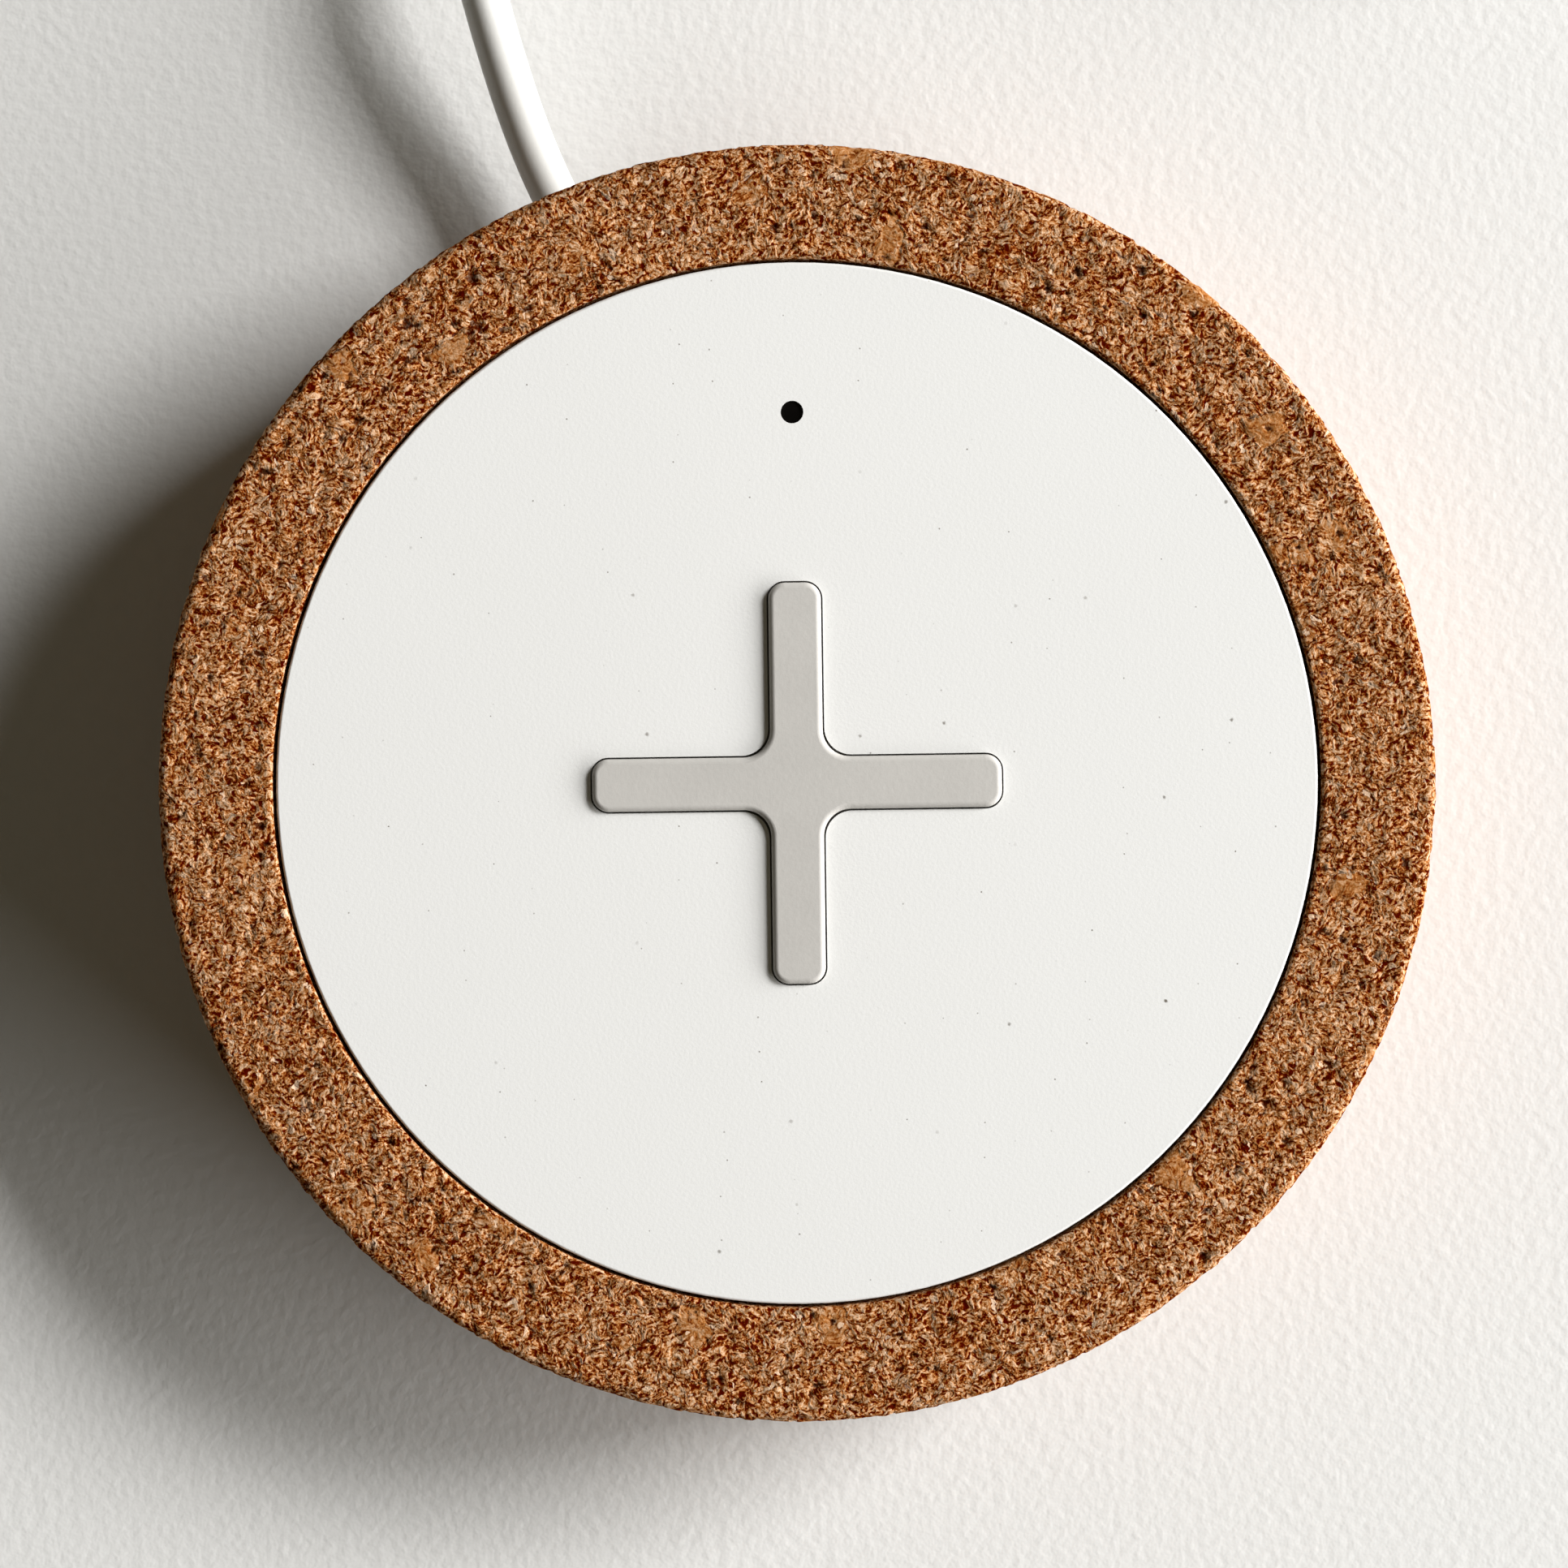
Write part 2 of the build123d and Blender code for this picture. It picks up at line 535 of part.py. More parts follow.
def cord_tie():
    """Strap round the bundle, flush with the table below."""
    band = tie_prism(
        COIL_INNER_TURN - CORD_RADIUS + TIE_BITE - TIE_THICKNESS,
        COIL_OUTER_TURN + CORD_RADIUS - TIE_BITE + TIE_THICKNESS,
        0,
        COIL_TOP - TIE_BITE + TIE_THICKNESS,
        TIE_CORNER,
    )
    return band - tie_window()


# ---------------------------------------------------------------- plug


def plug_frame():
    return Pos(*TAIL_ROUTE[-1]) * Rot(0, 0, PLUG_TURN)


def plug_body():
    """Soft grip with a grooved, tapered boot and a shallow dish on both broad sides."""
    grip = Pos(BOOT_LENGTH + GRIP_LENGTH / 2, 0, 0) * Box(GRIP_LENGTH, GRIP_WIDTH, GRIP_HEIGHT)
    grip = fillet(grip.edges().filter_by(Axis.X), GRIP_EDGE)
    grip = fillet(grip.faces().sort_by(Axis.X)[0].edges(), GRIP_BACK_EDGE)
    for side in (-1, 1):
        dish = fillet(Box(*GRIP_DISH_SIZE, 2 * GRIP_DISH).edges().filter_by(Axis.Z), GRIP_DISH_CORNER)
        grip -= Pos(BOOT_LENGTH + GRIP_LENGTH / 2, 0, side * GRIP_HEIGHT / 2) * dish
    profile = [(0, 0), (0, BOOT_THIN_RADIUS), (BOOT_LENGTH + 1, BOOT_THICK_RADIUS), (BOOT_LENGTH + 1, 0)]
    boot = revolve(make_face(Polyline(*profile, close=True)), Axis.X)
    for x in BOOT_GROOVES:
        middle = BOOT_THIN_RADIUS + (BOOT_THICK_RADIUS - BOOT_THIN_RADIUS) * x / BOOT_LENGTH
        boot -= Pos(x, 0, 0) * Rot(0, 90, 0) * Torus(middle + BOOT_GROOVE_LIFT, BOOT_GROOVE_RADIUS)
    return plug_frame() * (grip + boot)


def shell_box(inset, start, length):
    size = (length, SHELL_WIDTH - 2 * inset, SHELL_HEIGHT - 2 * inset)
    solid = Pos(start + length / 2, 0, 0) * Box(*size)
    return fillet(solid.edges().filter_by(Axis.X), SHELL_CORNER - inset)


def plug_shell():
    """Drawn steel shell, open at the front, with the two latch windows on each broad side."""
    start = BOOT_LENGTH + GRIP_LENGTH
    shell = shell_box(0, start, SHELL_LENGTH)
    shell -= shell_box(SHELL_WALL, start + SHELL_WALL, SHELL_LENGTH)
    for side in (-1, 1):
        place = Pos(start + SHELL_WINDOW_X, side * SHELL_WINDOW_Y, SHELL_HEIGHT / 2)
        shell -= place * Box(SHELL_WINDOW, SHELL_WINDOW, 4 * SHELL_WALL)
    return plug_frame() * shell


def plug_tongue():
    start = BOOT_LENGTH + GRIP_LENGTH + SHELL_WALL
    width = SHELL_WIDTH - 2 * SHELL_CORNER
    bottom = SHELL_WALL - SHELL_HEIGHT / 2
    return plug_frame() * block((TONGUE_LENGTH, width, TONGUE_HEIGHT), (start + TONGUE_LENGTH / 2, 0), bottom)


def plug_contacts():
    start = BOOT_LENGTH + GRIP_LENGTH + SHELL_WALL + TONGUE_LENGTH - CONTACT_LENGTH - 0.5
    bottom = SHELL_WALL - SHELL_HEIGHT / 2 + TONGUE_HEIGHT
    size = (CONTACT_LENGTH, CONTACT_WIDTH, CONTACT_THICKNESS)
    return [plug_frame() * block(size, (start + CONTACT_LENGTH / 2, y), bottom) for y in CONTACT_YS]


# ---------------------------------------------------------------- write one file per piece


def main():
    os.makedirs("parts", exist_ok=True)
    cord, cord_length = tube("cord", CORD_ROUTE)
    tail, tail_length = tube("cord_tail", TAIL_ROUTE)
    missing_turns = COIL_COLUMNS * COIL_LAYERS - COIL_TURNS
    wound = 2 * pi * (COIL_MEAN_RADIUS * COIL_COLUMNS * COIL_LAYERS - COIL_OUTER_TURN * missing_turns)
    wound += 2 * COIL_STUB
    print("lead in all", round(cord_length + wound + tail_length, 1), "of", CORD_LENGTH)
    last, end = TAIL_ROUTE[-2], TAIL_ROUTE[-1]
    print("last run heads", round(degrees(atan2(end[1] - last[1], end[0] - last[0])), 2), "plug", PLUG_TURN)
    pieces = {
        "cork_ring": cork_ring(),
        "bottom_cover": bottom_cover(),
        "top_cover": top_cover(),
        "grip_cross": grip_cross(),
        "rubber_feet": rubber_feet(),
        "housing_screws": housing_screws(),
        "light_pipe": light_pipe(),
        "status_led": status_led(),
        "circuit_board": circuit_board(),
        "board_screws": board_screws(),
        "controller_chip": soldered(CHIP_SIZE, [CHIP_PLACE]),
        "bridge_transistors": soldered(TRANSISTOR_SIZE, TRANSISTOR_PLACES),
        "power_inductor": power_inductor(),
        "resonant_capacitors": soldered(RESONANT_SIZE, RESONANT_PLACES),
        "filter_capacitors": soldered(FILTER_SIZE, FILTER_PLACES),
        "chip_resistors": soldered(RESISTOR_SIZE, RESISTOR_PLACES),
        "coil_winding": coil_winding(),
        "coil_leads": coil_leads(),
        "ferrite_plate": ferrite_plate(),
        "coil_tray": coil_tray(),
        "coil_adhesive": coil_adhesive(),
        "thermistor": thermistor(),
        "cord_bush": cord_bush(),
        "supply_wires": supply_wires(),
        "cord": cord,
        "cord_coil": cord_coil(),
        "cord_tail": tail,
        "cord_tie": cord_tie(),
        "plug_body": plug_body(),
        "plug_shell": plug_shell(),
        "plug_tongue": plug_tongue(),
        "plug_contacts": plug_contacts(),
    }
    for name, piece in pieces.items():
        solids = piece if isinstance(piece, list) else [piece]
        export_step(Compound(children=solids) if len(solids) > 1 else solids[0], f"parts/{name}.step")


if __name__ == "__main__":
    main()
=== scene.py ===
import bpy
import json
from math import cos, pi, radians, sin
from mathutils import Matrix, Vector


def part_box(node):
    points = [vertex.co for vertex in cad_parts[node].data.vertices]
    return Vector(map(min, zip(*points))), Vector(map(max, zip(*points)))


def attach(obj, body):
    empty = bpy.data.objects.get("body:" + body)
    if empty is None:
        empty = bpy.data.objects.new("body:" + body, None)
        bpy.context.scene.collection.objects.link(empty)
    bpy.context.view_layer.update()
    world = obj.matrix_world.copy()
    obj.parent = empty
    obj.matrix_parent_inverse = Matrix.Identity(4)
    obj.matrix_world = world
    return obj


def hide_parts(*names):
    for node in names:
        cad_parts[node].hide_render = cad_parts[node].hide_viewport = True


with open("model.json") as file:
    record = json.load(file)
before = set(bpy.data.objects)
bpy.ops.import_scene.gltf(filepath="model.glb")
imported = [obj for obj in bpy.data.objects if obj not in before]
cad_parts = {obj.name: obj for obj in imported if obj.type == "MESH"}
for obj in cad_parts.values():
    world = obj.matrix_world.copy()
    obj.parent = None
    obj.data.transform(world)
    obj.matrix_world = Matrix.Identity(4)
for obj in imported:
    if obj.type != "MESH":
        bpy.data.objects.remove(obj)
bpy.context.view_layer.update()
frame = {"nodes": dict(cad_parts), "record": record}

# Round wireless charging pad: cork ring, matt white disc, raised rubber plus and a fixed lead.
# Metres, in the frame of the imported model: +Z up, the indicator light towards +Y.

# ---------------------------------------------------------------- sizes

PAD_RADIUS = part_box("cork_ring")[1].x
RIM_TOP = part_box("cork_ring")[1].z
RIM_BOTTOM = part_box("cork_ring")[0].z
FLOOR_TOP = 0.0028  # top of the casing's floor, where the rebate in the cork ends
RIM_INNER_RADIUS = 0.0369
REBATE_RADIUS = 0.0412
OUTER_EDGE = 0.0007
INNER_EDGE = 0.0002
NEAR_DISC = 0.001  # how far down the bore is meshed more finely
CORK_HOLE_RADIUS = 0.0024
RING_STEPS = 1060  # round the cork, about 0.27 mm apart at the rim

EXIT_ANGLE = 111.6  # degrees from +X
EXIT_HEIGHT = 0.0054

CORD_DIAMETER = 0.0034
COIL_CENTRE = (-0.0067, 0.104)
COIL_OUTER_TURN = 0.02379
COIL_PITCH = 0.00342
COIL_COLUMNS = 4
COIL_TURNS = 15.25
POINTS_PER_TURN = 20
CROSSING = (285, 345)  # degrees of each turn over which it moves to its next place
CROSSING_BULGE = 0.55  # how far a rising turn swings out of the bundle, in pitches
TIE_PHASE = 225  # degrees of each turn at which the strap holds it
TIE_HOLD = 16  # degrees either side of that with the strap's whole squeeze
TIE_EASE = 20  # degrees over which the squeeze then dies away
TIE_SQUEEZE = (0.10, 0.126)  # across and upwards
TIE_LIFT = 0.00015

# control points from inside the pad to the coil, and from the coil to the plug's boot
CORD_ROUTE = [
    (-0.013179, 0.033286, 0.0054),
    (-0.01473, 0.03862, 0.0054),
    (-0.01827, 0.04558, 0.0041),
    (-0.02067, 0.05253, 0.0054),
    (-0.02315, 0.0621, 0.0071),
    (-0.0275, 0.075, 0.0031),
    (-0.03049, 0.0835, 0.0017),
    (-0.03049, 0.0905, 0.0017),
]
TAIL_ROUTE = [
    (0.0068, 0.12779, 0.01196),
    (0.0156, 0.12779, 0.01196),
    (0.0245, 0.12439, 0.0099),
    (0.0315, 0.11799, 0.0063),
    (0.0367, 0.11009, 0.004),
    (0.0406, 0.10249, 0.004),
]


# ---------------------------------------------------------------- node helpers


def add(tree, kind, inputs=None, **settings):
    """A node with its settings, and its inputs set to values or linked from sockets."""
    made = tree.nodes.new(kind)
    for name, value in settings.items():
        setattr(made, name, value)
    for name, value in (inputs or {}).items():
        if isinstance(value, bpy.types.NodeSocket):
            tree.links.new(value, made.inputs[name])
        else:
            made.inputs[name].default_value = value
    return made


def math(tree, operation, first, second=0.0, third=0.0):
    inputs = {0: first, 1: second, 2: third}
    return add(tree, "ShaderNodeMath", inputs, operation=operation).outputs[0]


def vector_math(tree, operation, first, second=(0, 0, 0)):
    made = add(tree, "ShaderNodeVectorMath", {0: first, 1: second}, operation=operation)
    return made.outputs["Value" if operation in ("DOT_PRODUCT", "LENGTH") else "Vector"]


def scaled(tree, vector, factor):
    made = add(tree, "ShaderNodeVectorMath", {0: vector, "Scale": factor}, operation="SCALE")
    return made.outputs["Vector"]


def split(tree, value):
    """The three parts of a vector or a colour."""
    return list(add(tree, "ShaderNodeSeparateXYZ", {0: value}).outputs)


def noise(tree, coords, size, detail=2.0, roughness=0.5):
    """Fractal noise whose largest features are about size metres across."""
    inputs = {"Vector": coords, "Scale": 1 / size, "Detail": detail, "Roughness": roughness}
    return add(tree, "ShaderNodeTexNoise", inputs)


def voronoi(tree, coords, size, feature="F1"):
    """Cells about size metres across."""
    inputs = {"Vector": coords, "Scale": 1 / size}
    return add(tree, "ShaderNodeTexVoronoi", inputs, feature=feature)


def band(tree, value, low, high, to_low=0.0, to_high=1.0):
    """value between low and high, smoothly spread between to_low and to_high."""
    inputs = {"Value": value, "From Min": low, "From Max": high}
    inputs.update({"To Min": to_low, "To Max": to_high})
    made = add(tree, "ShaderNodeMapRange", inputs, interpolation_type="SMOOTHSTEP")
    return made.outputs["Result"]


def ramp(tree, value, stops):
    """Colour ramp with (position, colour) stops."""
    made = add(tree, "ShaderNodeValToRGB", {"Fac": value})
    elements = made.color_ramp.elements
    while len(elements) < len(stops):
        elements.new(0.5)
    for element, (position, colour) in zip(elements, stops):
        element.position = position
        element.color = (*colour, 1.0)
    return made.outputs["Color"]


def mix(tree, amount, first, second):
    """Between two colours, by amount."""
    made = add(tree, "ShaderNodeMix", data_type="RGBA", clamp_factor=True)
    values = {0: amount, 6: first, 7: second}  # the factor and the two colour sockets
    for index, value in values.items():
        if isinstance(value, bpy.types.NodeSocket):
            tree.links.new(value, made.inputs[index])
        else:
            made.inputs[index].default_value = value if index == 0 else (*value, 1.0)
    return made.outputs[2]


def bump(tree, height):
    """Normal from a height in metres."""
    inputs = {"Height": height, "Distance": 1.0, "Strength": 1.0}
    return add(tree, "ShaderNodeBump", inputs).outputs["Normal"]


def new_material(name, roughness, **sockets):
    """A material with one Principled shader; also its tree, its shader and object coordinates."""
    material = bpy.data.materials.new(name)
    material.use_nodes = True
    tree = material.node_tree
    shader = tree.nodes["Principled BSDF"]
    shader.inputs["Roughness"].default_value = roughness
    for socket, value in sockets.items():
        shader.inputs[socket.replace("_", " ")].default_value = value
    coords = add(tree, "ShaderNodeTexCoord").outputs["Object"]
    return material, tree, shader, coords


def feed(tree, shader, **sockets):
    """Links outputs to the shader's inputs."""
    for socket, output in sockets.items():
        tree.links.new(output, shader.inputs[socket.replace("_", " ")])


# ---------------------------------------------------------------- cork

# sizes of what the cork is made of
LUMP = 0.0012
FLAKE = 0.00025
SHRED = 0.00027
GRIT = 0.00018
CHIP = 0.0024
PIT = 0.0011
CRUMB = 0.0019
SEAM_BREAKS = 0.0009
CLOUD = 0.005
STRETCH = 0.60  # the part of its length by which a flake is drawn out
LUMPS_APART = 0.05  # keeps each lump's flakes at a place of their own in the pattern
WARPS = ((0.0013, 0.0010), (0.00030, 0.00022))  # size of the waves, and how far they push

# from nothing to all, in the noise or the cell colour that chooses them
SMOOTH_CHIPS = (0.88, 0.96)
CRACKED_CHIPS = (0.56, 0.62)
SEAM_KEPT = (0.44, 0.54)
PITTED = (0.37, 0.32)
CRUMBLED = (0.54, 0.70)
PALE_FLAKES = (0.955, 0.975)
PALE_LUMPS = (0.35, 0.5)
# the same, in the distance to a chip's edge, in chips
CHIP_INSIDE = (0.02, 0.07)
SEAM_WIDTH = (0.035, 0.0)

MID_COLOUR = (0.5, 0.5, 0.5)
BASE_TONE = 0.44
MID_TONE = 0.56  # the tone that the smooth chips keep to
CHIP_CALM = 0.55  # how much of the flakes' relief and contrast the smooth chips lose
CHIP_FLAT = 0.7  # and of the lumps' relief
# painted shade: very dark red-brown laid into the pits and seams, where the shallow relief casts
# little shade of its own
PAINTED_CREVICE_SHADE = (0.05, 0.003, 0.0)
PALE_FLECK = (0.78, 0.56, 0.39)
CORK_TONES = [
    (0.02, (0.055, 0.0018, 0.0001)),
    (0.22, (0.155, 0.027, 0.0015)),
    (0.45, (0.325, 0.123, 0.029)),
    (0.68, (0.465, 0.235, 0.105)),
    (1.0, (0.65, 0.415, 0.26)),
]
SHADER_TILT = 0.08  # slope of the lumps in the shader's bump
MESH_TILT = 0.07  # and in the mesh
FLAKE_TILT = 0.22
SHRED_HEIGHT = 0.00011
GRIT_HEIGHT = 0.00005
LEVEL_SPREAD = 0.00006  # between the lowest and the highest lump
PIT_DEPTH = 0.00022
SEAM_DEPTH = 0.00016
CHIP_RISE = 0.00003
HIGHEST = 0.00006  # that the relief may stand out of the turned surface
BORE_BAND = 0.0007  # over which the relief dies away towards the bore
BORE_RELIEF = 0.15  # what is left of it there
WEAR_REACH = 0.0010  # from the upper outer corner, measured inwards and downwards together
WEAR_DEPTH = 0.00028


def warped(tree, coords):
    """Coordinates pushed about, so that the lumps are ragged and not round."""
    pushes = []
    for size, reach in WARPS:
        wave = noise(tree, coords, size).outputs["Color"]
        pushes.append(scaled(tree, vector_math(tree, "SUBTRACT", wave, MID_COLOUR), reach))
    return vector_math(tree, "ADD", coords, vector_math(tree, "ADD", *pushes))


def facet(tree, coords, cells, slope):
    """Height of a tilted facet in each cell, from the cell's own colour."""
    local = vector_math(tree, "SUBTRACT", coords, cells.outputs["Position"])
    lean = vector_math(tree, "SUBTRACT", cells.outputs["Color"], MID_COLOUR)
    return math(tree, "MULTIPLY", vector_math(tree, "DOT_PRODUCT", local, lean), 2 * slope)


def cork_pattern(tree, coords):
    """What the relief and the colour of the cork share: lumps, smooth chips, cracks and pits."""
    pushed = warped(tree, coords)
    lumps = voronoi(tree, pushed, LUMP)
    chips = voronoi(tree, pushed, CHIP)
    chip_edge = voronoi(tree, pushed, CHIP, "DISTANCE_TO_EDGE").outputs["Distance"]
    chip_choice = split(tree, chips.outputs["Color"])[0]
    is_smooth = band(tree, chip_choice, *SMOOTH_CHIPS)
    smooth = math(tree, "MULTIPLY", is_smooth, band(tree, chip_edge, *CHIP_INSIDE))
    ragged = noise(tree, coords, SEAM_BREAKS).outputs[0]
    is_cracked = band(tree, chip_choice, *CRACKED_CHIPS)
    seam = math(tree, "MULTIPLY", is_cracked, band(tree, chip_edge, *SEAM_WIDTH))
    seam = math(tree, "MULTIPLY", seam, band(tree, ragged, *SEAM_KEPT))
    rough = noise(tree, coords, PIT, 3.0, 0.6).outputs[0]
    return {
        "pushed": pushed,
        "lumps": lumps,
        "smooth": smooth,
        "seam": seam,
        "pit": band(tree, rough, *PITTED),
    }


def lump_height(tree, pattern, slope):
    """Tilted lumps at different levels, flattened on the smooth chips."""
    lumps = pattern["lumps"]
    tilt = facet(tree, pattern["pushed"], lumps, slope)
    choice = split(tree, lumps.outputs["Color"])[2]
    level = math(tree, "MULTIPLY_ADD", choice, LEVEL_SPREAD, -LEVEL_SPREAD / 2)
    kept = math(tree, "MULTIPLY_ADD", pattern["smooth"], -CHIP_FLAT, 1.0)
    return math(tree, "MULTIPLY", math(tree, "ADD", tilt, level), kept)


def combed(tree, pattern):
    """Coordinates drawn out along a direction of each lump's own, which makes long flakes."""
    lumps = pattern["lumps"]
    local = vector_math(tree, "SUBTRACT", pattern["pushed"], lumps.outputs["Position"])
    lean = vector_math(tree, "SUBTRACT", lumps.outputs["Color"], MID_COLOUR)
    axis = vector_math(tree, "NORMALIZE", lean)
    along = math(tree, "MULTIPLY", vector_math(tree, "DOT_PRODUCT", local, axis), STRETCH)
    drawn = vector_math(tree, "SUBTRACT", local, scaled(tree, axis, along))
    return vector_math(tree, "ADD", drawn, scaled(tree, lumps.outputs["Color"], LUMPS_APART))


def cork_material():
    """Shredded flakes, pale where they stand proud and deep red-brown in the gaps between them:
    the darker gaps are partly the cork's own colour and partly painted shade.
    """
    material, tree, shader, _ = new_material("cork", 1.0, Specular_IOR_Level=0.0)
    coords = add(tree, "ShaderNodeAttribute", attribute_name="turned").outputs["Vector"]
    pattern = cork_pattern(tree, coords)
    long_way = combed(tree, pattern)
    flakes = voronoi(tree, long_way, FLAKE)
    lump = split(tree, pattern["lumps"].outputs["Color"])
    flake = split(tree, flakes.outputs["Color"])
    shreds = noise(tree, long_way, SHRED, 2.0, 0.65).outputs[0]
    grit = noise(tree, coords, GRIT, 2.0, 0.6).outputs[0]
    cloud = noise(tree, coords, CLOUD, 3.0).outputs[0]
    loose = math(tree, "MULTIPLY_ADD", pattern["smooth"], -CHIP_CALM, 1.0)

    # shreds and grit also raise the fine relief below, so the tone darkens where the surface sits
    # low: partly the cork's own colour, partly painted shade in the gaps
    tone_and_shade = BASE_TONE
    parts = ((shreds, 3.6), (grit, 1.3), (flake[0], 0.42), (lump[1], 0.10), (cloud, 0.30))
    for value, weight in parts:
        tone_and_shade = math(tree, "MULTIPLY_ADD", math(tree, "SUBTRACT", value, 0.5), weight, tone_and_shade)
    relief = math(tree, "MULTIPLY", math(tree, "SUBTRACT", tone_and_shade, MID_TONE), loose)
    colour = ramp(tree, math(tree, "ADD", relief, MID_TONE), CORK_TONES)
    is_pale = band(tree, flake[1], *PALE_FLAKES)
    pale = math(tree, "MULTIPLY", is_pale, band(tree, lump[0], *PALE_LUMPS))
    # the pits and seams get painted shade; the pale flecks are the cork's own colour
    marks = ((pale, 0.75, PALE_FLECK), (pattern["seam"], 0.9, PAINTED_CREVICE_SHADE), (pattern["pit"], 0.85, PAINTED_CREVICE_SHADE))
    for amount, most, tint in marks:
        colour = mix(tree, math(tree, "MULTIPLY", amount, most), colour, tint)

    fine = facet(tree, long_way, flakes, FLAKE_TILT)
    fine = math(tree, "MULTIPLY_ADD", shreds, SHRED_HEIGHT, fine)
    fine = math(tree, "MULTIPLY_ADD", grit, GRIT_HEIGHT, fine)
    fine = math(tree, "MULTIPLY", fine, loose)
    height = math(tree, "ADD", lump_height(tree, pattern, SHADER_TILT), fine)
    feed(tree, shader, Base_Color=colour, Normal=bump(tree, height))
    return material


def cork_profile():
    """(radius, height) round the ring's section, closely spaced where it shows."""
    points = []

    def run(start, end, steps):
        for step in range(steps):
            part = step / steps
            points.append(tuple(a + (b - a) * part for a, b in zip(start, end)))

    def corner(centre, radius, first, last, steps):
        for step in range(steps):
            angle = radians(first + (last - first) * step / steps)
            points.append((centre[0] + radius * cos(angle), centre[1] + radius * sin(angle)))

    bore, outside = RIM_INNER_RADIUS, PAD_RADIUS
    inner, outer = bore + INNER_EDGE, outside - OUTER_EDGE  # where the flat rim starts and ends
    low = RIM_BOTTOM + OUTER_EDGE
    run((bore, FLOOR_TOP), (bore, RIM_TOP - NEAR_DISC), 4)
    run((bore, RIM_TOP - NEAR_DISC), (bore, RIM_TOP - INNER_EDGE), 4)
    corner((inner, RIM_TOP - INNER_EDGE), INNER_EDGE, 180, 90, 2)
    run((inner, RIM_TOP), (outer, RIM_TOP), 37)
    corner((outer, RIM_TOP - OUTER_EDGE), OUTER_EDGE, 90, 0, 5)
    run((outside, RIM_TOP - OUTER_EDGE), (outside, low), 32)
    corner((outer, low), OUTER_EDGE, 0, -90, 3)
    run((outer, RIM_BOTTOM), (REBATE_RADIUS, RIM_BOTTOM), 4)
    run((REBATE_RADIUS, RIM_BOTTOM), (REBATE_RADIUS, FLOOR_TOP), 1)
    run((REBATE_RADIUS, FLOOR_TOP), (bore, FLOOR_TOP), 1)
    return points


def turned_ring(name, profile, steps):
    """The profile turned about Z, as quads."""
    vertices = []
    for step in range(steps):
        angle = 2 * pi * step / steps
        vertices += [(r * cos(angle), r * sin(angle), z) for r, z in profile]
    count = len(profile)
    faces = []
    for step in range(steps):
        here, there = step * count, (step + 1) % steps * count
        for i in range(count):
            j = (i + 1) % count
            faces.append((here + i, there + i, there + j, here + j))
    mesh = bpy.data.meshes.new(name)
    mesh.from_pydata(vertices, [], faces)
    mesh.update()
    ring = bpy.data.objects.new(name, mesh)
    bpy.context.scene.collection.objects.link(ring)
    return ring


def lead_hole_cutter():
    """A round bar through the ring's wall along the lead's exit direction."""
    length = 0.02  # well through the wall on both sides
    bpy.ops.mesh.primitive_cylinder_add(vertices=72, radius=CORK_HOLE_RADIUS, depth=length)
    cutter = bpy.context.object
    middle = (RIM_INNER_RADIUS + PAD_RADIUS) / 2
    angle = radians(EXIT_ANGLE)
    cutter.location = (middle * cos(angle), middle * sin(angle), EXIT_HEIGHT)
    cutter.rotation_euler = (0, pi / 2, angle)
    return cutter


def cork_relief():
    """Geometry nodes that keep each point's turned place and then push it along its normal."""
    tree = bpy.data.node_groups.new("cork_relief", "GeometryNodeTree")
    tree.interface.new_socket("Geometry", in_out="INPUT", socket_type="NodeSocketGeometry")
    tree.interface.new_socket("Geometry", in_out="OUTPUT", socket_type="NodeSocketGeometry")
    start = add(tree, "NodeGroupInput").outputs[0]
    coords = add(tree, "GeometryNodeInputPosition").outputs[0]
    store = add(tree, "GeometryNodeStoreNamedAttribute", data_type="FLOAT_VECTOR", domain="POINT")
    store.inputs["Name"].default_value = "turned"
    tree.links.new(start, store.inputs["Geometry"])
    tree.links.new(coords, store.inputs["Value"])

    pattern = cork_pattern(tree, coords)
    height = lump_height(tree, pattern, MESH_TILT)
    height = math(tree, "MULTIPLY_ADD", pattern["pit"], -PIT_DEPTH, height)
    height = math(tree, "MULTIPLY_ADD", pattern["smooth"], CHIP_RISE, height)
    height = math(tree, "MULTIPLY_ADD", pattern["seam"], -SEAM_DEPTH, height)
    height = math(tree, "MINIMUM", height, HIGHEST)
    height = math(tree, "MULTIPLY", height, bore_calm(tree, coords))
    height = math(tree, "SUBTRACT", height, edge_wear(tree, coords))
    push = scaled(tree, add(tree, "GeometryNodeInputNormal").outputs[0], height)
    moved = {"Geometry": store.outputs["Geometry"], "Offset": push}
    end = add(tree, "GeometryNodeSetPosition", moved).outputs["Geometry"]
    add(tree, "NodeGroupOutput", {0: end})
    return tree


def from_axis(tree, coords):
    """Distance from the ring's axis, and height."""
    x, y, z = split(tree, coords)
    flat = add(tree, "ShaderNodeCombineXYZ", {0: x, 1: y}).outputs[0]
    return vector_math(tree, "LENGTH", flat), z


def bore_calm(tree, coords):
    """How much of the relief is left, going to little at the cleanly bored inner wall."""
    radius = from_axis(tree, coords)[0]
    calm_end = RIM_INNER_RADIUS + BORE_BAND
    return band(tree, radius, RIM_INNER_RADIUS, calm_end, BORE_RELIEF, 1.0)


def edge_wear(tree, coords):
    """How far crumbs are missing along the ring's upper outer edge."""
    radius, height = from_axis(tree, coords)
    crumbs = band(tree, noise(tree, coords, CRUMB, 3.0, 0.65).outputs[0], *CRUMBLED)
    corner = math(tree, "SUBTRACT", PAD_RADIUS + RIM_TOP, math(tree, "ADD", radius, height))
    worn = math(tree, "MULTIPLY", band(tree, corner, WEAR_REACH, 0.0), crumbs)
    return math(tree, "MULTIPLY", worn, WEAR_DEPTH)


